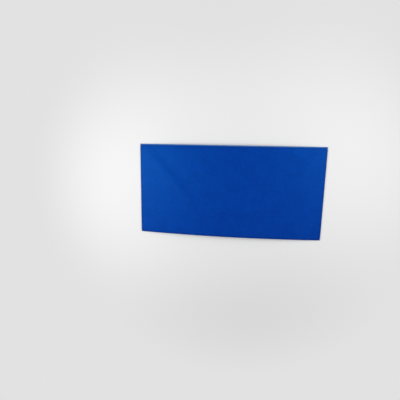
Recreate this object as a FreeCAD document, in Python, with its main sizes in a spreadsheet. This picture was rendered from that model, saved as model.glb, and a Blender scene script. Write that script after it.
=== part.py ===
import FreeCAD, Part
import math
import os
import Sketcher

# A long paper envelope lying on its back, flap folded shut but not stuck down, address side up.
# X runs along the length, Y towards the fold of the flap, Z up out of the address side.
# It is one sheet: address panel, two side tabs, back panel and flap, folded in that order.
# The folded envelope has a gentle bow along its length, so each layer is part of a cylinder
# round one common line, parallel to Y, far below its middle.

# Driving sizes, in millimetres and degrees.
SIZES = {
    "length": 220.0,
    "height": 110.0,
    "paper": 0.15,
    "bow_height": 7.0,
    "pocket_gap": 0.30,
    "flap_gap": 0.50,
    "tab_width": 18.0,
    "tab_end_clearance": 2.5,
    "tab_end_slope": 12.0,
    "tab_corner_radius": 4.0,
    "back_side_inset": 0.8,
    "back_side_slope": 1.2,
    "throat_setback": 4.0,
    "throat_corner_radius": 3.0,
    "flap_depth": 75.5,
    "flap_side_angle": 45.0,
    "flap_root_inset": 0.6,
    "flap_corner_radius": 12.0,
    "flap_spring_angle": 2.5,
    "gum_width": 12.0,
    "gum_margin": 1.5,
    "gum_root_clearance": 5.0,
    "gum_inner_radius": 3.0,
    "gum_thickness": 0.10,
}

# The address side is the outside of the bow, and depths are measured down from it.
# Each layer starts where the one above it ends, plus the gap that lies between them.
BOW_RADIUS = "(sizes.length ^ 2 / (8 * sizes.bow_height))"
TAB_DEPTH = "(sizes.paper + sizes.pocket_gap)"
BACK_DEPTH = f"({TAB_DEPTH} + sizes.paper)"
FLAP_TOP_DEPTH = f"({BACK_DEPTH} + sizes.paper + sizes.flap_gap)"
FLAP_UNDER_DEPTH = f"({FLAP_TOP_DEPTH} + sizes.paper)"

# Outer radius of each fold: half the stack that it goes round.
SIDE_FOLD = f"(({TAB_DEPTH} + sizes.paper) / 2)"
BOTTOM_FOLD = f"(({BACK_DEPTH} + sizes.paper) / 2)"
TOP_FOLD = f"({FLAP_UNDER_DEPTH} / 2)"

# The flat stretch of the address panel ends where its folds begin.
HALF_TURN = f"((sizes.length / 2 - {SIDE_FOLD}) / {BOW_RADIUS} * 180 / pi)"
HALF_SPAN = f"({BOW_RADIUS} * sin({HALF_TURN}))"
BOTTOM_LINE = f"({BOTTOM_FOLD} - sizes.height / 2)"
TOP_LINE = f"(sizes.height / 2 - {TOP_FOLD})"
THROAT_LINE = "(sizes.height / 2 - sizes.throat_setback)"
TIP_LINE = "(sizes.height / 2 - sizes.flap_depth)"

# The lowest edges are the ends of the flap's fold, and they lie on the table.
REST_SHIFT = f"(({FLAP_UNDER_DEPTH} - {BOW_RADIUS}) * cos({HALF_TURN}))"


def level(depth):
    return f"({BOW_RADIUS} - {depth})"


# The unstuck flap springs away from the back panel, by more the further it is from its fold.
def sprung_level(depth, up):
    return f"({BOW_RADIUS} - {depth} - ({TOP_LINE} - {up}) * tan(sizes.flap_spring_angle))"


def new_document():
    doc = FreeCAD.newDocument("envelope")
    sheet = doc.addObject("Spreadsheet::Sheet", "sizes")
    for row, (name, value) in enumerate(SIZES.items(), start=1):
        sheet.set(f"A{row}", name)
        sheet.set(f"B{row}", str(value))
        sheet.setAlias(f"B{row}", name)
    doc.recompute()
    return doc


def new_body(doc, label):
    body = doc.addObject("PartDesign::Body", label)
    body.Label = label
    return body


def origin_feature(body, role):
    return next(item for item in body.Origin.OriginFeatures if item.Role == role)


def placed(body, corner):
    return FreeCAD.Vector(*(body.evalExpression(expression) for expression in corner), 0)


# Ties one point of a sketch to an expression, measured from the sketch's origin.
def tie(sketch, kind, edge, point, name, expression):
    axes, origin_point = -1, 1
    value = sketch.evalExpression(expression)
    constraint = Sketcher.Constraint(kind, axes, origin_point, edge, point, value)
    sketch.renameConstraint(sketch.addConstraint(constraint), name)
    sketch.setExpression(f"Constraints.{name}", expression)


# A closed outline through corners given as pairs of expressions. An edge whose number is in
# centres is an arc round that centre. Two such arcs of a quarter turn make a fold's half round.
def closed_outline(body, plane, name, corners, centres=None):
    centres = centres or {}
    sketch = body.newObject("Sketcher::SketchObject", name)
    sketch.AttachmentSupport = [(origin_feature(body, plane), "")]
    sketch.MapMode = "FlatFace"
    start, end, centre = 1, 2, 3
    ends = []
    for index, corner in enumerate(corners):
        here = placed(body, corner)
        there = placed(body, corners[(index + 1) % len(corners)])
        forwards = True
        if index in centres:
            middle = placed(body, centres[index])
            forwards = (here - middle).cross(there - middle).z > 0
            first = here - middle if forwards else there - middle
            last = there - middle if forwards else here - middle
            circle = Part.Circle(middle, FreeCAD.Vector(0, 0, 1), first.Length)
            angles = (math.atan2(first.y, first.x), math.atan2(last.y, last.x))
            sketch.addGeometry(Part.ArcOfCircle(circle, *angles), False)
        else:
            sketch.addGeometry(Part.LineSegment(here, there), False)
        ends.append((start, end) if forwards else (end, start))
    for index in range(len(corners)):
        after = (index + 1) % len(corners)
        sketch.addConstraint(
            Sketcher.Constraint("Coincident", index, ends[index][1], after, ends[after][0])
        )
    for index, (across, up) in enumerate(corners):
        tie(sketch, "DistanceX", index, ends[index][0], f"corner_{index}_across", across)
        tie(sketch, "DistanceY", index, ends[index][0], f"corner_{index}_up", up)
    for index, (across, up) in centres.items():
        tie(sketch, "DistanceX", index, centre, f"centre_{index}_across", across)
    return sketch


# Sweeps a section in the YZ plane round the line of the bow, the same way to both sides.
def bend(body, name, section, half_turn):
    turn = body.newObject("PartDesign::Revolution", name)
    turn.Profile = section
    turn.ReferenceAxis = (origin_feature(body, "Y_Axis"), [""])
    turn.Midplane = True
    turn.setExpression("Angle", f"2 * {half_turn}")
    return turn


# An upright block with the given outline, tall enough to pass through every layer.
def block(body, name, corners):
    pad = body.newObject("PartDesign::Pad", name)
    pad.Profile = closed_outline(body, "XY_Plane", f"{name}_outline", corners)
    pad.setExpression("Length", BOW_RADIUS)
    return pad


# Rounds the upright edges that stand at the given places.
def round_corners(doc, body, pad, name, places, radius):
    doc.recompute()
    spots = [(body.evalExpression(across), body.evalExpression(up)) for across, up in places]
    near = 0.001
    chosen = []
    for number, edge in enumerate(pad.Shape.Edges, start=1):
        low, high = edge.Vertexes[0].Point, edge.Vertexes[-1].Point
        upright = math.hypot(high.x - low.x, high.y - low.y) < near
        if upright and any(math.hypot(low.x - x, low.y - y) < near for x, y in spots):
            chosen.append(f"Edge{number}")
    fillet = body.newObject("PartDesign::Fillet", name)
    fillet.Base = (pad, chosen)
    fillet.setExpression("Radius", radius)
    return fillet


# What is left of a bent sheet inside an outline, like a cut from a die.
def die_cut(doc, label, sheet, outline):
    cut = doc.addObject("Part::Common", label)
    cut.Base = sheet
    cut.Tool = outline
    return cut


# The address panel: full length between the side folds, full height between the long folds.
def address_panel(doc):
    body = new_body(doc, "address_panel")
    top, under = level("0"), level("sizes.paper")
    corners = [(BOTTOM_LINE, under), (TOP_LINE, under), (TOP_LINE, top), (BOTTOM_LINE, top)]
    bend(body, "address_bend", closed_outline(body, "YZ_Plane", "address_section", corners), HALF_TURN)
    return body


# A side tab with its fold, drawn with the fold line at X = 0 and turned to the right end.
# It tapers towards its free edge, which has rounded corners.
def right_tab(doc):
    sheet = new_body(doc, "tab_sheet")
    top, under = level(TAB_DEPTH), level(f"({TAB_DEPTH} + sizes.paper)")
    long_edge = "(sizes.height / 2)"
    corners = [(f"-{long_edge}", under), (long_edge, under), (long_edge, top), (f"-{long_edge}", top)]
    section = closed_outline(sheet, "YZ_Plane", "tab_section", corners)
    spare_turn = f"(2 * sizes.tab_width / {BOW_RADIUS} * 180 / pi)"
    turn = sheet.newObject("PartDesign::Revolution", "tab_bend")
    turn.Profile = section
    turn.ReferenceAxis = (origin_feature(sheet, "Y_Axis"), [""])
    turn.Reversed = True
    turn.setExpression("Angle", spare_turn)
    middle = level(SIDE_FOLD)
    fold_corners = [
        ("0", under),
        (SIDE_FOLD, middle),
        ("0", level("0")),
        ("0", level("sizes.paper")),
        (f"({SIDE_FOLD} - sizes.paper)", middle),
        ("0", top),
    ]
    centres = {edge: ("0", middle) for edge in (0, 1, 3, 4)}
    fold = sheet.newObject("PartDesign::Pad", "tab_fold")
    fold.Profile = closed_outline(sheet, "XZ_Plane", "tab_fold_section", fold_corners, centres)
    fold.Midplane = True
    fold.setExpression("Length", "sizes.height")

    shape = new_body(doc, "tab_shape")
    low = f"({BOTTOM_LINE} + sizes.tab_end_clearance)"
    high = f"({TOP_LINE} - sizes.tab_end_clearance)"
    narrowing = "(sizes.tab_width * tan(sizes.tab_end_slope))"
    free_low = ("-sizes.tab_width", f"({low} + {narrowing})")
    free_high = ("-sizes.tab_width", f"({high} - {narrowing})")
    pad = block(
        shape,
        "tab_block",
        [free_low, ("0", low), (SIDE_FOLD, low), (SIDE_FOLD, high), ("0", high), free_high],
    )
    round_corners(doc, shape, pad, "tab_corners", [free_low, free_high], "sizes.tab_corner_radius")

    tab = die_cut(doc, "right_tab", sheet, shape)
    tab.Placement = FreeCAD.Placement(FreeCAD.Vector(), FreeCAD.Rotation(FreeCAD.Vector(0, 1, 0), 1))
    tab.setExpression("Placement.Rotation.Angle", HALF_TURN)
    return tab


def left_tab(doc, tab):
    mirror = doc.addObject("Part::Mirroring", "left_tab")
    mirror.Source = tab
    mirror.Normal = FreeCAD.Vector(1, 0, 0)
    return mirror


# The back panel with the bottom fold. It lies on the tabs, where it is stuck to them.
# Its sides run slightly inwards up to the throat, the open edge of the pocket.
def back_panel(doc):
    sheet = new_body(doc, "back_sheet")
    top, under = level(BACK_DEPTH), level(f"({BACK_DEPTH} + sizes.paper)")
    middle = level(BOTTOM_FOLD)
    section_corners = [
        (BOTTOM_LINE, under),
        (THROAT_LINE, under),
        (THROAT_LINE, top),
        (BOTTOM_LINE, top),
        (f"({BOTTOM_LINE} - {BOTTOM_FOLD} + sizes.paper)", middle),
        (BOTTOM_LINE, level("sizes.paper")),
        (BOTTOM_LINE, level("0")),
        (f"({BOTTOM_LINE} - {BOTTOM_FOLD})", middle),
    ]
    centres = {edge: (BOTTOM_LINE, middle) for edge in (3, 4, 6, 7)}
    section = closed_outline(sheet, "YZ_Plane", "back_section", section_corners, centres)
    bend(sheet, "back_bend", section, HALF_TURN)

    shape = new_body(doc, "back_shape")
    beyond = "(sizes.length / 2)"
    low_edge = "(-sizes.height / 2)"
    side = f"({HALF_SPAN} - sizes.back_side_inset)"
    narrowing = f"(({THROAT_LINE} - {BOTTOM_LINE}) * tan(sizes.back_side_slope))"
    throat_side = f"({side} - {narrowing})"
    throat_corners = [(throat_side, THROAT_LINE), (f"-{throat_side}", THROAT_LINE)]
    corners = [
        (f"-{beyond}", low_edge),
        (beyond, low_edge),
        (beyond, BOTTOM_LINE),
        (side, BOTTOM_LINE),
        *throat_corners,
        (f"-{side}", BOTTOM_LINE),
        (f"-{beyond}", BOTTOM_LINE),
    ]
    pad = block(shape, "back_block", corners)
    round_corners(doc, shape, pad, "back_corners", throat_corners, "sizes.throat_corner_radius")
    return die_cut(doc, "back_panel", sheet, shape)


# Half the width of the flap at a height, less a margin measured square to its slanted side.
def flap_half_width(up, margin):
    drawn_in = f"({TOP_LINE} - {up}) / tan(sizes.flap_side_angle)"
    return f"({HALF_SPAN} - sizes.flap_root_inset - {drawn_in} - {margin} / sin(sizes.flap_side_angle))"


# The flap with the top fold, its slanted sides meeting the tip in round corners.
def flap(doc):
    sheet = new_body(doc, "flap_sheet")
    far = "(-sizes.height / 2)"
    middle = level(TOP_FOLD)
    section_corners = [
        (far, sprung_level(FLAP_UNDER_DEPTH, far)),
        (TOP_LINE, level(FLAP_UNDER_DEPTH)),
        (f"({TOP_LINE} + {TOP_FOLD})", middle),
        (TOP_LINE, level("0")),
        (TOP_LINE, level("sizes.paper")),
        (f"({TOP_LINE} + {TOP_FOLD} - sizes.paper)", middle),
        (TOP_LINE, level(FLAP_TOP_DEPTH)),
        (far, sprung_level(FLAP_TOP_DEPTH, far)),
    ]
    centres = {edge: (TOP_LINE, middle) for edge in (1, 2, 4, 5)}
    section = closed_outline(sheet, "YZ_Plane", "flap_section", section_corners, centres)
    bend(sheet, "flap_bend", section, HALF_TURN)

    shape = new_body(doc, "flap_shape")
    beyond, high_edge = "(sizes.length / 2)", "(sizes.height / 2)"
    root, tip = flap_half_width(TOP_LINE, "0"), flap_half_width(TIP_LINE, "0")
    tip_corners = [(f"-{tip}", TIP_LINE), (tip, TIP_LINE)]
    corners = [
        *tip_corners,
        (root, TOP_LINE),
        (beyond, TOP_LINE),
        (beyond, high_edge),
        (f"-{beyond}", high_edge),
        (f"-{beyond}", TOP_LINE),
        (f"-{root}", TOP_LINE),
    ]
    pad = block(shape, "flap_block", corners)
    round_corners(doc, shape, pad, "flap_corners", tip_corners, "sizes.flap_corner_radius")
    return die_cut(doc, "flap", sheet, shape)


# A block with the flap's slanted sides and tip, smaller all round by a margin.
def gum_block(doc, name, margin, high, radius):
    body = new_body(doc, name)
    low = f"({TIP_LINE} + {margin})"
    wide, narrow = flap_half_width(high, margin), flap_half_width(low, margin)
    tip_corners = [(f"-{narrow}", low), (narrow, low)]
    pad = block(body, f"{name}_block", [*tip_corners, (wide, high), (f"-{wide}", high)])
    round_corners(doc, body, pad, f"{name}_corners", tip_corners, radius)
    return body


# The film of dried gum on the inner face of the flap, along both slanted sides and the tip.
def gum_strip(doc):
    film = new_body(doc, "gum_film")
    film_top = f"({FLAP_TOP_DEPTH} - sizes.gum_thickness)"
    corners = [
        (TIP_LINE, sprung_level(FLAP_TOP_DEPTH, TIP_LINE)),
        (TOP_LINE, level(FLAP_TOP_DEPTH)),
        (TOP_LINE, level(film_top)),
        (TIP_LINE, sprung_level(film_top, TIP_LINE)),
    ]
    bend(film, "gum_bend", closed_outline(film, "YZ_Plane", "gum_section", corners), HALF_TURN)

    gum_end = f"({TOP_LINE} - sizes.gum_root_clearance)"
    outer_radius = "(sizes.flap_corner_radius - sizes.gum_margin)"
    outer = gum_block(doc, "gum_outer", "sizes.gum_margin", gum_end, outer_radius)
    inner_margin = "(sizes.gum_margin + sizes.gum_width)"
    inner = gum_block(doc, "gum_inner", inner_margin, TOP_LINE, "sizes.gum_inner_radius")
    band = doc.addObject("Part::Cut", "gum_band")
    band.Base = outer
    band.Tool = inner
    strip = die_cut(doc, "gum_strip", film, band)
    strip.setExpression("Placement.Base.z", REST_SHIFT)
    return strip


# The whole folded sheet, joined along its folds and where the tabs are stuck to the back.
def envelope_sheet(doc):
    tab = right_tab(doc)
    fuse = doc.addObject("Part::MultiFuse", "envelope_sheet")
    fuse.Shapes = [address_panel(doc), tab, left_tab(doc, tab), back_panel(doc), flap(doc)]
    fuse.setExpression("Placement.Base.z", REST_SHIFT)
    return fuse


def check_document(doc):
    doc.recompute()
    for item in doc.Objects:
        if {"Invalid", "Error"} & set(item.State):
            raise RuntimeError(f"{item.Label} failed: {item.State}")


def write_parts(parts):
    for part in parts:
        shape = part.Shape
        if shape.isNull() or not shape.isValid() or len(shape.Solids) != 1:
            raise RuntimeError(f"{part.Label} is not one sound solid")
    os.makedirs("parts", exist_ok=True)
    for part in parts:
        part.Shape.exportStep(f"parts/{part.Label}.step")
        print(f"{part.Label}: {part.Shape.Volume:.2f} mm3")


doc = new_document()
parts = [envelope_sheet(doc), gum_strip(doc)]
check_document(doc)
write_parts(parts)
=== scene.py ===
import math
import bmesh
import bpy
from mathutils import Matrix, Vector, noise


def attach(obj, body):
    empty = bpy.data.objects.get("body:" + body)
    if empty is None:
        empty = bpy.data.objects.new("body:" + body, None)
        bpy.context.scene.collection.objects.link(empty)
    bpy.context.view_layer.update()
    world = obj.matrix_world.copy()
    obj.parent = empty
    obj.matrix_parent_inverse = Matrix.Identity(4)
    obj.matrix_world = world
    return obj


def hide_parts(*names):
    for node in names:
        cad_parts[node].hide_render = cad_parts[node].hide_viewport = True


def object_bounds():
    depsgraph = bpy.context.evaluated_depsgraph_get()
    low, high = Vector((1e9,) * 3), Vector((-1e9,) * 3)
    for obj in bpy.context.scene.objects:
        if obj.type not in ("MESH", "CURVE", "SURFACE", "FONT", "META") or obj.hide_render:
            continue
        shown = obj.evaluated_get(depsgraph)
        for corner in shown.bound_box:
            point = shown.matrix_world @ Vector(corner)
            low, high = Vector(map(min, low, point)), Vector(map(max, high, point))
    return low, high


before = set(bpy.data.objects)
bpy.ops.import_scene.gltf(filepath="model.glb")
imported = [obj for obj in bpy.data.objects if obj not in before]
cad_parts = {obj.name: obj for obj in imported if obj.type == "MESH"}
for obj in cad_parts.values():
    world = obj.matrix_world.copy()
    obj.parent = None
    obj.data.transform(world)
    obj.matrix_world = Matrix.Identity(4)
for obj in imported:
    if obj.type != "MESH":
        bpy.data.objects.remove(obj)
cad_low, cad_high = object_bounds()

# Envelope sheet. One die-cut sheet of paper, dyed deep blue all through, about 120 g per square metre.
# It is creased and folded in the order of the real work: side tabs, back panel, flap. The blank is
# laid out flat here, cut into small faces, then folded and bowed, so its grain runs round the folds.
MM = 0.001
PAPER = 0.15 * MM
POCKET_GAP = 0.30 * MM
FLAP_GAP = 0.50 * MM
GLUE_GAP = 0.04 * MM
BOW_HEIGHT = 7.0 * MM
LENGTH = 220.0 * MM
HEIGHT = cad_high.y - cad_low.y
BOW_RADIUS = LENGTH ** 2 / (8 * BOW_HEIGHT)

# Depth of the middle of each layer under the middle of the address panel.
TAB_DEPTH = PAPER + POCKET_GAP
BACK_DEPTH = TAB_DEPTH + PAPER
FLAP_DEPTH = BACK_DEPTH + PAPER + FLAP_GAP

# Half the length of the address panel between its folds, and the places of its long folds.
HALF_U = LENGTH / 2 - (TAB_DEPTH + PAPER) / 2
BOTTOM_V = (BACK_DEPTH + PAPER) / 2 - HEIGHT / 2
TOP_V = HEIGHT / 2 - (FLAP_DEPTH + PAPER) / 2

# Paper taken up by each half turn.
SIDE_TURN = math.pi * TAB_DEPTH / 2
BOTTOM_TURN = math.pi * BACK_DEPTH / 2
TOP_TURN = math.pi * FLAP_DEPTH / 2

# The outlines of the tabs, the back panel with its throat, and the flap, which springs a little open.
TAB_WIDTH = 18.0 * MM
TAB_CLEARANCE = 2.5 * MM
TAB_SLOPE = math.radians(12.0)
TAB_RADIUS = 4.0 * MM
BACK_INSET = 0.8 * MM
BACK_SLOPE = math.radians(1.2)
THROAT_SETBACK = 4.0 * MM
THROAT_RADIUS = 3.0 * MM
FLAP_LENGTH = 75.5 * MM
FLAP_ANGLE = math.radians(45.0)
FLAP_INSET = 0.6 * MM
FLAP_RADIUS = 12.0 * MM
SPRING = math.tan(math.radians(2.5))

# How strongly each fold pinches the layers beside it together, and how far in.
END_PINCH = 0.40
END_REACH = 3.0 * MM
LONG_PINCH = 0.45
LONG_REACH = 4.5 * MM

# The ridge and the hollow where the edge of the flap shows through: height, place past the edge,
# and width. Both are higher along the slanted sides, by a share that is reached over a short run.
RIDGE = 0.50 * MM
RIDGE_PLACE = 2.5 * MM
RIDGE_WIDTH = 7.0 * MM
HOLLOW = 0.25 * MM
HOLLOW_PLACE = -9.0 * MM
HOLLOW_WIDTH = 8.0 * MM
SLANT_SHARE = 0.8
SLANT_RUN = 20 * MM

# The unevenness of handled paper: the height, size and layer of noise of its broad and narrow
# swellings, and how far the whole sheet sinks between its ends.
BROAD_SWELL = 0.34 * MM
BROAD_SIZE = (95 * MM, 70 * MM)
BROAD_LAYER = 1.7
NARROW_SWELL = 0.10 * MM
NARROW_SIZE = (38 * MM, 44 * MM)
NARROW_LAYER = 6.3
SINK = 0.30 * MM

# How finely the blank is cut, and how near a point lies to a cut or to another point to be on it.
COLUMNS = 88
ROWS = 44
TURN_STEPS = 8
CORNER_STEPS = 10
ON_CUT = 0.0005 * MM
SAME_POINT = 0.001 * MM
SAME_CORNER = 0.01 * MM
SLIVER = 0.03 * MM


# Lays a flat panel out from its corners.
def add_panel(mesh, corners):
    mesh.faces.new([mesh.verts.new((u, v, 0)) for u, v in corners])


# Rounds the corners of a flat panel that lie at the given places, where its outline makes a turn.
def round_corners(mesh, places, radius, turn):
    found = [vert for vert in mesh.verts
             if any((vert.co.xy - Vector(place)).length < SAME_CORNER for place in places)]
    bmesh.ops.bevel(mesh, geom=found, offset=radius * math.tan(turn / 2), affect="VERTICES",
                    segments=CORNER_STEPS, profile=0.5, material=-1)


# Cuts a flat mesh right across at each of the places along a direction.
def cut_across(mesh, places, normal):
    for place in places:
        geometry = mesh.verts[:] + mesh.edges[:] + mesh.faces[:]
        bmesh.ops.bisect_plane(mesh, geom=geometry, dist=ON_CUT,
                               plane_co=Vector(normal) * place, plane_no=normal)


# Places that part a length into equal steps, with both its ends.
def steps(start, end, count):
    return [start + (end - start) * index / count for index in range(count + 1)]


# Places one size apart from a start, short of an end.
def paces(start, end, size):
    pace = math.copysign(size, end - start)
    return [start + pace * index for index in range(1, math.ceil((end - start) / pace))]


flap_root = HALF_U - FLAP_INSET
flap_start = TOP_V + TOP_TURN
flap_tip = flap_start + FLAP_LENGTH - (HEIGHT / 2 - TOP_V)
flap_tip_half = flap_root - (flap_tip - flap_start) / math.tan(FLAP_ANGLE)
back_start = BOTTOM_V - BOTTOM_TURN
back_end = back_start - (HEIGHT / 2 - THROAT_SETBACK - BOTTOM_V)
back_half = HALF_U - BACK_INSET
throat_half = back_half - (back_start - back_end) * math.tan(BACK_SLOPE)
tab_low = BOTTOM_V + TAB_CLEARANCE
tab_high = TOP_V - TAB_CLEARANCE
tab_start = HALF_U + SIDE_TURN
tab_end = tab_start + TAB_WIDTH
tab_drop = TAB_WIDTH * math.tan(TAB_SLOPE)

blank = bmesh.new()
add_panel(blank, [(-HALF_U, BOTTOM_V), (-back_half, BOTTOM_V), (back_half, BOTTOM_V), (HALF_U, BOTTOM_V),
                  (HALF_U, tab_low), (HALF_U, tab_high), (HALF_U, TOP_V), (-HALF_U, TOP_V),
                  (-HALF_U, tab_high), (-HALF_U, tab_low)])
add_panel(blank, [(-HALF_U, TOP_V), (HALF_U, TOP_V), (HALF_U, flap_start), (flap_root, flap_start),
                  (-flap_root, flap_start), (-HALF_U, flap_start)])
add_panel(blank, [(-flap_root, flap_start), (flap_root, flap_start), (flap_tip_half, flap_tip),
                  (-flap_tip_half, flap_tip)])
add_panel(blank, [(-HALF_U, back_start), (-back_half, back_start), (back_half, back_start),
                  (HALF_U, back_start), (HALF_U, BOTTOM_V), (back_half, BOTTOM_V), (-back_half, BOTTOM_V),
                  (-HALF_U, BOTTOM_V)])
add_panel(blank, [(-throat_half, back_end), (throat_half, back_end), (back_half, back_start),
                  (-back_half, back_start)])
for side in (1, -1):
    ends = [(side * HALF_U, tab_low), (side * tab_start, tab_low), (side * tab_start, tab_high),
            (side * HALF_U, tab_high)]
    leaf = [(side * tab_start, tab_low), (side * tab_end, tab_low + tab_drop),
            (side * tab_end, tab_high - tab_drop), (side * tab_start, tab_high)]
    for corners in (ends, leaf):
        add_panel(blank, corners if side > 0 else corners[::-1])
round_corners(blank, [(-flap_tip_half, flap_tip), (flap_tip_half, flap_tip)], FLAP_RADIUS, FLAP_ANGLE)
round_corners(blank, [(-throat_half, back_end), (throat_half, back_end)], THROAT_RADIUS,
              math.pi / 2 + BACK_SLOPE)
for side in (1, -1):
    tips = [(side * tab_end, tab_low + tab_drop), (side * tab_end, tab_high - tab_drop)]
    round_corners(blank, tips, TAB_RADIUS, math.pi / 2 - TAB_SLOPE)
bmesh.ops.remove_doubles(blank, verts=blank.verts, dist=SAME_POINT)

for side in (1, -1):
    cut_across(blank, [side * place for place in steps(HALF_U, tab_start, TURN_STEPS)], (1, 0, 0))
cut_across(blank, steps(TOP_V, flap_start, TURN_STEPS), (0, 1, 0))
cut_across(blank, steps(BOTTOM_V, back_start, TURN_STEPS), (0, 1, 0))

# Every layer is cut on the same lines of the folded envelope, so that no layer runs into the next.
column = 2 * HALF_U / COLUMNS
row = (TOP_V - BOTTOM_V) / ROWS
cut_across(blank, paces(-HALF_U, HALF_U, column), (1, 0, 0))
for side in (1, -1):
    cut_across(blank, paces(side * tab_start, side * tab_end, column), (1, 0, 0))
for start, end in ((BOTTOM_V, TOP_V), (flap_start, flap_tip), (back_start, back_end)):
    cut_across(blank, paces(start, end, row), (0, 1, 0))
bmesh.ops.remove_doubles(blank, verts=blank.verts, dist=SLIVER)


# Where paper that runs past a crease lies: its distance along the folded envelope, and its depth.
def fold(along, crease, turn, depth):
    past = along - crease
    radius = depth / 2
    if past <= 0:
        return along, 0.0
    if past < turn:
        return crease + radius * math.sin(past / radius), radius * (1 - math.cos(past / radius))
    return crease - (past - turn), depth


# A smooth hump, 1 at its middle and fading to nothing about two widths away.
def hump(place, middle, width):
    return math.exp(-((place - middle) / width) ** 2)


# The edge of the flap shows through the layers over it as a faint ridge, with a shallow hollow inside.
# It shows more along the slanted sides than along the tip.
def flap_shows(x, y):
    down = TOP_V - y
    past_side = (x - flap_root + down / math.tan(FLAP_ANGLE)) * math.sin(FLAP_ANGLE)
    past_tip = down - (flap_tip - flap_start)
    past = max(past_side, past_tip)
    height = 1 + SLANT_SHARE * min(1.0, max(0.0, (x - flap_tip_half) / SLANT_RUN))
    return height * (RIDGE * hump(past, RIDGE_PLACE, RIDGE_WIDTH)
                     - HOLLOW * hump(past, HOLLOW_PLACE, HOLLOW_WIDTH))


# How far the sheet is swollen at a place, from -1 to 1.
def swelling(x, y, size, layer):
    return noise.noise(Vector((x / size[0], y / size[1], layer)))


# The gentle unevenness of paper that has been handled, the same for all its layers.
def unevenness(x, y):
    broad = BROAD_SWELL * swelling(x, y, BROAD_SIZE, BROAD_LAYER)
    narrow = NARROW_SWELL * swelling(x, y, NARROW_SIZE, NARROW_LAYER)
    free = max(0.0, 1 - (2 * x / LENGTH) ** 4)
    return free * (broad + narrow - SINK + flap_shows(abs(x), y))


# Puts a point of the blank where it lies in the folded envelope. Lift raises it off the layer.
def folded(u, v, lift):
    side = 1 if u >= 0 else -1
    x, depth = fold(abs(u), HALF_U, SIDE_TURN, TAB_DEPTH)
    y = v
    if v > TOP_V:
        y, depth = fold(v, TOP_V, TOP_TURN, FLAP_DEPTH)
        if v > flap_start:
            depth += (TOP_V - y) * SPRING
    elif v < BOTTOM_V:
        y, depth = fold(-v, -BOTTOM_V, BOTTOM_TURN, BACK_DEPTH)
        y = -y
        if v < back_start:
            depth += GLUE_GAP
    at_end = hump(max(0.0, HALF_U - x), 0.0, END_REACH)
    at_bottom = (1 - at_end) * hump(max(0.0, y - BOTTOM_V), 0.0, LONG_REACH)
    at_top = (1 - at_end) * hump(max(0.0, TOP_V - y), 0.0, LONG_REACH)
    for middle, pinch in ((TAB_DEPTH / 2, END_PINCH * at_end), (BACK_DEPTH / 2, LONG_PINCH * at_bottom),
                          (FLAP_DEPTH, LONG_PINCH * at_top)):
        held = depth if v > TOP_V else min(depth, TAB_DEPTH)
        depth += (middle - held) * pinch
    radius = BOW_RADIUS - PAPER / 2 - depth + lift
    angle = x / BOW_RADIUS
    rest = (BOW_RADIUS - FLAP_DEPTH - PAPER) * math.cos(HALF_U / BOW_RADIUS)
    return Vector((side * radius * math.sin(angle), y, radius * math.cos(angle) - rest + unevenness(x, y)))


# Folds a flat mesh up. Its places on the blank stay with it as the grain of the paper.
def fold_up(mesh, lift=0.0):
    grain = mesh.loops.layers.uv.new("grain")
    for face in mesh.faces:
        face.smooth = True
        for loop in face.loops:
            loop[grain].uv = loop.vert.co.xy
    for vert in mesh.verts:
        vert.co = folded(vert.co.x, vert.co.y, lift)


fold_up(blank)

# The envelope settles until the lowest corners of its flap fold touch the table.
settled = Vector((0, 0, PAPER / 2 - min(vert.co.z for vert in blank.verts)))
bmesh.ops.translate(blank, verts=blank.verts, vec=settled)


# A finished piece: an object at the origin with the mesh, which takes the place of its plain solid.
def finished(mesh, name, node, material):
    data = bpy.data.meshes.new(name)
    mesh.to_mesh(data)
    mesh.free()
    piece = bpy.data.objects.new(name, data)
    bpy.context.scene.collection.objects.link(piece)
    data.materials.append(material)
    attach(piece, "root")
    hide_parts(node)
    return piece


# What a node gives out over a surface. Sums and products of such numbers add nodes to the material.
class Signal:
    def __init__(self, nodes, socket):
        self.nodes, self.socket = nodes, socket

    def maths(self, operation, *values):
        return self.nodes.node("ShaderNodeMath", {"operation": operation}, *values)

    def __add__(self, other):
        return self.maths("ADD", self, other)

    def __sub__(self, other):
        return self.maths("SUBTRACT", self, other)

    def __rsub__(self, other):
        return self.maths("SUBTRACT", other, self)

    def __mul__(self, other):
        return self.maths("MULTIPLY", self, other)

    def __abs__(self):
        return self.maths("ABSOLUTE", self)

    def highest(self, other):
        return self.maths("MAXIMUM", self, other)

    def lowest(self, other):
        return self.maths("MINIMUM", self, other)

    # Rises smoothly from 0 to 1 as the number goes from start to end.
    def rise(self, start, end):
        kind = {"interpolation_type": "SMOOTHSTEP"}
        return self.nodes.node("ShaderNodeMapRange", kind, self, start, end, 0.0, 1.0)

    __radd__ = __add__
    __rmul__ = __mul__


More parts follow.
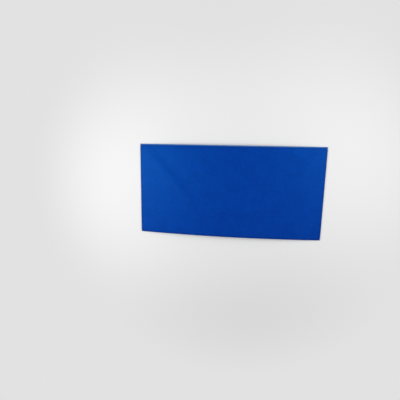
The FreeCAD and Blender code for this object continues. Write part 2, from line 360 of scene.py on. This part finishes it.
# The nodes of one material, or of the room's light.
class Nodes:
    def __init__(self, tree):
        self.tree = tree

    # Adds a node with its settings made first, gives its sockets values or links, in their order
    # or by name, and returns its first shown output, or the named one.
    def node(self, kind, settings=None, *values, output=None, **named):
        made = self.tree.nodes.new(kind)
        for setting, value in (settings or {}).items():
            setattr(made, setting, value)
        sockets = [socket for socket in made.inputs if socket.enabled]
        pairs = list(zip(sockets, values))
        for name, value in named.items():
            label = name.replace("_", " ").title()
            pairs.append((next(socket for socket in sockets if socket.name == label), value))
        for socket, value in pairs:
            if isinstance(value, Signal):
                self.tree.links.new(value.socket, socket)
            else:
                socket.default_value = value
        outputs = [socket for socket in made.outputs if socket.enabled]
        chosen = next(socket for socket in outputs if output in (None, socket.name))
        return Signal(self, chosen)

    # Noise with features of about a size, which a stretch below 1 draws out along that direction.
    def noise(self, place, size, detail=2.0, roughness=0.5, stretch=(1, 1, 1)):
        sized = self.node("ShaderNodeVectorMath", {"operation": "MULTIPLY"}, place,
                          tuple(part / size for part in stretch))
        return self.node("ShaderNodeTexNoise", {"noise_dimensions": "3D"}, vector=sized, scale=1.0,
                         detail=detail, roughness=roughness)

    def mix(self, share, first, second):
        return self.node("ShaderNodeMix", {"data_type": "RGBA"}, factor=share, a=first, b=second)


# One material, with the values of its Principled shader that are the same all over.
class Finish(Nodes):
    def __init__(self, name, constants):
        self.material = bpy.data.materials.new(name)
        self.material.use_nodes = True
        super().__init__(self.material.node_tree)
        self.shader = self.tree.nodes["Principled BSDF"]
        for label, value in constants.items():
            self.shader.inputs[label].default_value = value

    def connect(self, signal, name):
        self.tree.links.new(signal.socket, self.shader.inputs[name])

    def bump(self, height, distance):
        bumped = self.node("ShaderNodeBump", {}, strength=1.0, distance=distance, height=height)
        self.connect(bumped, "Normal")


BLUE = (0.0018, 0.0388, 0.3200, 1)
BLUE_DEEP = (0.0012, 0.0262, 0.2410, 1)
# Painted shade: the darker blue of the band just inside each fold.
BLUE_FOLD_SHADE = (0.0012, 0.0210, 0.1850, 1)
# Wear and painted highlight: the pale blue along the folds, strongest on the top fold.
BLUE_WEAR_AND_HIGHLIGHT = (0.0720, 0.1900, 0.4400, 1)
BLUE_FIBRE = (0.0050, 0.0700, 0.4100, 1)
BLUE_GLINT = (0.00, 0.41, 1.00, 1)
BLUE_SHINE = 0.45

# Sizes of the marks in the paper, and how far its fibres and threads are drawn out.
CLOUD_SIZE = 17 * MM
FLOCK_SIZE = 4.2 * MM
MOTTLE_SIZE = 1.5 * MM
FIBRE_SIZE = 0.55 * MM
FIBRE_STRETCH = (0.28, 1, 1)
THREAD_SIZE = 1.1 * MM
THREAD_STRETCH = (1, 0.16, 1)
CRACK_SIZE = 0.9 * MM
RUB_SIZE = 9.0 * MM

# How much the clear blue shows at least, what each mark adds to it, and how pale the fibres are.
# A mark comes up over a part of its noise, which runs from 0 to 1.
CLEAR_LEAST = 0.10
CLOUD_RANGE = (0.30, 0.70)
CLOUD_SHARE = 0.30
FLOCK_RANGE = (0.30, 0.70)
FLOCK_SHARE = 0.30
MOTTLE_RANGE = (0.25, 0.75)
MOTTLE_SHARE = 0.20
FIBRE_RANGE = (0.62, 0.78)
FIBRE_SHARE = 0.30
THREAD_RANGE = (0.68, 0.78)
THREAD_SHARE = 0.35

# The folds: where the dark band of painted shade and the pale band of wear and painted highlight start
# and end outside the round of the fold, how strong each is, how far cracks and rubbing shift the edge of
# the pale ones, and how much of the pale band is left where they are least.
FOLD_SHADE_BAND = (0.6 * MM, 3.2 * MM)
FOLD_SHADE_SHARE = 0.60
TOP_WEAR_AND_HIGHLIGHT = (0.1 * MM, 0.8 * MM)
END_WEAR_AND_HIGHLIGHT = (-0.2 * MM, 0.5 * MM)
END_WEAR_AND_HIGHLIGHT_SHARE = 0.45
BOTTOM_WEAR = (-0.4 * MM, 0.1 * MM)
BOTTOM_WEAR_SHARE = 0.35
CRACK_SHIFT = 1.6 * MM
CRACK_LEAST = 0.10
CRACK_SHARE = 1.20
RUB_SHIFT = 1.0 * MM
RUB_LEAST = 0.45

# How rough the paper is, what mottle and wear add, and the height and make-up of its fine relief.
PAPER_ROUGHNESS = 0.45
MOTTLE_ROUGHNESS = 0.08
WORN_ROUGHNESS = 0.25
PAPER_RELIEF = 0.035 * MM
FLOCK_RELIEF = 0.6
MOTTLE_RELIEF = 0.5
FIBRE_RELIEF = 0.5
THREAD_RELIEF = 0.25


# How far outside the round of a fold the paper lies, below zero on the round itself.
def outside(along, middle, turn):
    return abs(along - middle) - turn / 2


# The dyed paper. Its fibres and clouds of dye follow the sheet round its folds. Along each fold the dye is
# cracked and pale, part wear and part painted highlight, and just inside it is a darker band of painted
# shade.
def blue_paper():
    paper = Finish("blue_paper", {"Specular IOR Level": BLUE_SHINE, "Specular Tint": BLUE_GLINT})
    place = paper.node("ShaderNodeUVMap", {"uv_map": "grain"})
    across = paper.node("ShaderNodeSeparateXYZ", {}, place, output="X")
    up = paper.node("ShaderNodeSeparateXYZ", {}, place, output="Y")
    clouds = paper.noise(place, CLOUD_SIZE)
    flocks = paper.noise(place, FLOCK_SIZE, roughness=0.6)
    mottle = paper.noise(place, MOTTLE_SIZE, detail=3.0, roughness=0.6)
    fibres = paper.noise(place, FIBRE_SIZE, roughness=0.65, stretch=FIBRE_STRETCH)
    threads = paper.noise(place, THREAD_SIZE, detail=1.0, stretch=THREAD_STRETCH)
    cloudy = clouds.rise(*CLOUD_RANGE) * CLOUD_SHARE + flocks.rise(*FLOCK_RANGE) * FLOCK_SHARE
    clear = CLEAR_LEAST + cloudy + mottle.rise(*MOTTLE_RANGE) * MOTTLE_SHARE
    colour = paper.mix(clear, BLUE_DEEP, BLUE)
    pale_fibres = fibres.rise(*FIBRE_RANGE) * FIBRE_SHARE
    pale_threads = threads.rise(*THREAD_RANGE) * THREAD_SHARE
    colour = paper.mix(pale_fibres.highest(pale_threads), colour, BLUE_FIBRE)
    crack = paper.noise(place, CRACK_SIZE, detail=5.0, roughness=0.75)
    rubbed = paper.noise(place, RUB_SIZE)
    ragged = (crack - 0.5) * CRACK_SHIFT + (rubbed - 0.5) * RUB_SHIFT
    from_end = outside(abs(across), HALF_U + SIDE_TURN / 2, SIDE_TURN)
    from_top = outside(up, TOP_V + TOP_TURN / 2, TOP_TURN)
    from_bottom = outside(up, BOTTOM_V - BOTTOM_TURN / 2, BOTTOM_TURN)
    nearest = from_end.lowest(from_top).lowest(from_bottom)
    # Painted shade: darkens the paper in a band just inside each fold.
    fold_shade = (1 - nearest.rise(*FOLD_SHADE_BAND)) * FOLD_SHADE_SHARE
    colour = paper.mix(fold_shade, colour, BLUE_FOLD_SHADE)
    # Pale band along the folds, part wear and part painted highlight, strongest along the top fold and the
    # ends.
    wear_and_highlight = 1 - (from_top + ragged).rise(*TOP_WEAR_AND_HIGHLIGHT)
    wear_and_highlight = wear_and_highlight.highest((1 - (from_end + ragged).rise(*END_WEAR_AND_HIGHLIGHT)) * END_WEAR_AND_HIGHLIGHT_SHARE)
    wear_and_highlight = wear_and_highlight.highest((1 - (from_bottom + ragged).rise(*BOTTOM_WEAR)) * BOTTOM_WEAR_SHARE)
    wear_and_highlight = wear_and_highlight * (CRACK_LEAST + crack * CRACK_SHARE) * (RUB_LEAST + rubbed)
    paper.connect(paper.mix(wear_and_highlight, colour, BLUE_WEAR_AND_HIGHLIGHT), "Base Color")
    paper.connect(PAPER_ROUGHNESS + mottle * MOTTLE_ROUGHNESS + wear_and_highlight * WORN_ROUGHNESS, "Roughness")
    coarse = flocks * FLOCK_RELIEF + mottle * MOTTLE_RELIEF
    fine = fibres * FIBRE_RELIEF + threads * THREAD_RELIEF
    paper.bump(coarse + fine, PAPER_RELIEF)
    return paper.material


envelope = finished(blank, "envelope_sheet_folded", "envelope_sheet", blue_paper())
thickness = envelope.modifiers.new("thickness", "SOLIDIFY")
thickness.thickness = PAPER
thickness.offset = 0.0
thickness.use_even_offset = True

# Gum strip. The film of gum on the inner face of the flap, along both slanted sides and the tip.
# It is put on wet and dries darker and a little glossy. Real gum dries with a slightly uneven edge; this
# film's edge is straight.
GUM_WIDTH = 12.0 * MM
GUM_MARGIN = 1.5 * MM
GUM_ROOT = 5.0 * MM
GUM_THICKNESS = 0.08 * MM
GUM_COLOUR = (0.0009, 0.0160, 0.1450, 1)
GUM_PALE = (0.0012, 0.0220, 0.1850, 1)
GUM_ROUGHNESS = 0.28
STREAK_SIZE = 3.0 * MM
STREAK_STRETCH = (0.3, 1, 1)
STREAK_RANGE = (0.3, 0.7)
STREAK_ROUGHNESS = 0.25
STREAK_RELIEF = 0.02 * MM


# The flap's outline made smaller all round by a margin, from its root line to its tip.
def flap_inside(margin, root):
    tip = flap_tip - margin
    slant = margin / math.sin(FLAP_ANGLE)
    half_at = [flap_root - (place - flap_start) / math.tan(FLAP_ANGLE) - slant for place in (root, tip)]
    return [(-half_at[0], root), (half_at[0], root), (half_at[1], tip), (-half_at[1], tip)]


gum = bmesh.new()
outer = flap_inside(GUM_MARGIN, flap_start + GUM_ROOT)
inner = flap_inside(GUM_MARGIN + GUM_WIDTH, flap_start + GUM_ROOT)
for here, after in ((1, 2), (2, 3), (3, 0)):
    add_panel(gum, [inner[here], inner[after], outer[after], outer[here]])
bmesh.ops.remove_doubles(gum, verts=gum.verts, dist=SAME_POINT)
cut_across(gum, paces(-HALF_U, HALF_U, column), (1, 0, 0))
cut_across(gum, paces(flap_start, flap_tip, row), (0, 1, 0))
bmesh.ops.remove_doubles(gum, verts=gum.verts, dist=SLIVER)
fold_up(gum, lift=PAPER / 2 + GUM_THICKNESS / 2)
bmesh.ops.translate(gum, verts=gum.verts, vec=settled)


# The film of gum, with streaks along the length from the roller that spread it.
def dried_gum():
    film = Finish("dried_gum", {})
    place = film.node("ShaderNodeUVMap", {"uv_map": "grain"})
    streaks = film.noise(place, STREAK_SIZE, detail=3.0, stretch=STREAK_STRETCH)
    film.connect(film.mix(streaks.rise(*STREAK_RANGE), GUM_COLOUR, GUM_PALE), "Base Color")
    film.connect(GUM_ROUGHNESS + streaks * STREAK_ROUGHNESS, "Roughness")
    film.bump(streaks, STREAK_RELIEF)
    return film.material


gum_film = finished(gum, "gum_strip_film", "gum_strip", dried_gum())
film_thickness = gum_film.modifiers.new("thickness", "SOLIDIFY")
film_thickness.thickness = GUM_THICKNESS
film_thickness.offset = 0.0

# Floor. A plain, matt, pale table top that the envelope lies on. It keeps the envelope's shadow,
# and further out it fades to one even tone for the camera, so that it shows no edge.
FLOOR_REACH = 3.0
FLOOR_PALE = (0.76, 0.76, 0.76, 1)
FLOOR_ROUGHNESS = 0.9
FLOOR_SHINE = 0.2
FADE_START = 0.11
FADE_END = 0.26
floor_mesh = bmesh.new()
bmesh.ops.create_grid(floor_mesh, x_segments=1, y_segments=1, size=FLOOR_REACH)
floor_data = bpy.data.meshes.new("floor")
floor_mesh.to_mesh(floor_data)
floor_mesh.free()
floor = bpy.data.objects.new("floor", floor_data)
bpy.context.scene.collection.objects.link(floor)
table = Finish("pale_floor", {"Base Color": FLOOR_PALE, "Roughness": FLOOR_ROUGHNESS,
                              "Specular IOR Level": FLOOR_SHINE})
spot = table.node("ShaderNodeTexCoord", output="Object")
distance = table.node("ShaderNodeVectorMath", {"operation": "LENGTH"}, spot)
far = distance.rise(FADE_START, FADE_END) * table.node("ShaderNodeLightPath", output="Is Camera Ray")
glow = table.node("ShaderNodeEmission", {}, color=FLOOR_PALE, strength=1.0)
shaded = Signal(table, table.shader.outputs["BSDF"])
top = table.node("ShaderNodeMixShader", {}, far, shaded, glow)
table.tree.links.new(top.socket, table.tree.nodes["Material Output"].inputs["Surface"])
floor_data.materials.append(table.material)


# Light. Two large soft lamps, one beyond each end of the envelope and the stronger one at the left,
# and a dim white room, which the camera sees as pale as the floor.
def lamp(name, place, size, power):
    data = bpy.data.lights.new(name, "AREA")
    data.shape = "RECTANGLE"
    data.size, data.size_y = size
    data.energy = power
    light = bpy.data.objects.new(name, data)
    light.location = place
    light.rotation_euler = (-Vector(place)).to_track_quat("-Z", "Y").to_euler()
    bpy.context.scene.collection.objects.link(light)


lamp("key", place=(-0.36, 0.02, 0.33), size=(0.26, 0.40), power=1.87)
lamp("fill", place=(0.36, 0.12, 0.30), size=(0.30, 0.40), power=1.60)
ROOM_WHITE = (1.0, 1.0, 1.0, 1)
ROOM_STRENGTH = 0.25
ROOM_SHOWN = 0.76
world = bpy.data.worlds.new("room")
world.use_nodes = True
bpy.context.scene.world = world
room = Nodes(world.node_tree)
background = world.node_tree.nodes["Background"]
background.inputs["Color"].default_value = ROOM_WHITE
seen = room.node("ShaderNodeLightPath", output="Is Camera Ray")
strength = ROOM_STRENGTH + seen * (ROOM_SHOWN - ROOM_STRENGTH)
world.node_tree.links.new(strength.socket, background.inputs["Strength"])

# Camera. It looks down on the address side from where the photograph's camera stood to that face.
# Its place, directions and lens were solved from the sides of the face.
CAMERA_PLACE = Vector((12.4, 57.8, 377.4)) * MM
CAMERA_FORWARD = Vector((-0.12347, -0.18005, -0.97588)).normalized()
CAMERA_RIGHT = Vector((0.99155, 0.01708, -0.12860)).normalized()
CAMERA_LENS = 28.36
CAMERA_SENSOR = 36.0
CAMERA_NEAR = 0.01
camera_data = bpy.data.cameras.new("camera")
camera_data.lens = CAMERA_LENS
camera_data.sensor_width = CAMERA_SENSOR
camera_data.clip_start = CAMERA_NEAR
camera = bpy.data.objects.new("camera", camera_data)
bpy.context.scene.collection.objects.link(camera)
camera_up = CAMERA_RIGHT.cross(CAMERA_FORWARD)
camera.matrix_world = (Matrix.Translation(CAMERA_PLACE)
                       @ Matrix((CAMERA_RIGHT, camera_up, -CAMERA_FORWARD)).transposed().to_4x4())
bpy.context.scene.camera = camera
bpy.context.scene.view_settings.view_transform = "Standard"
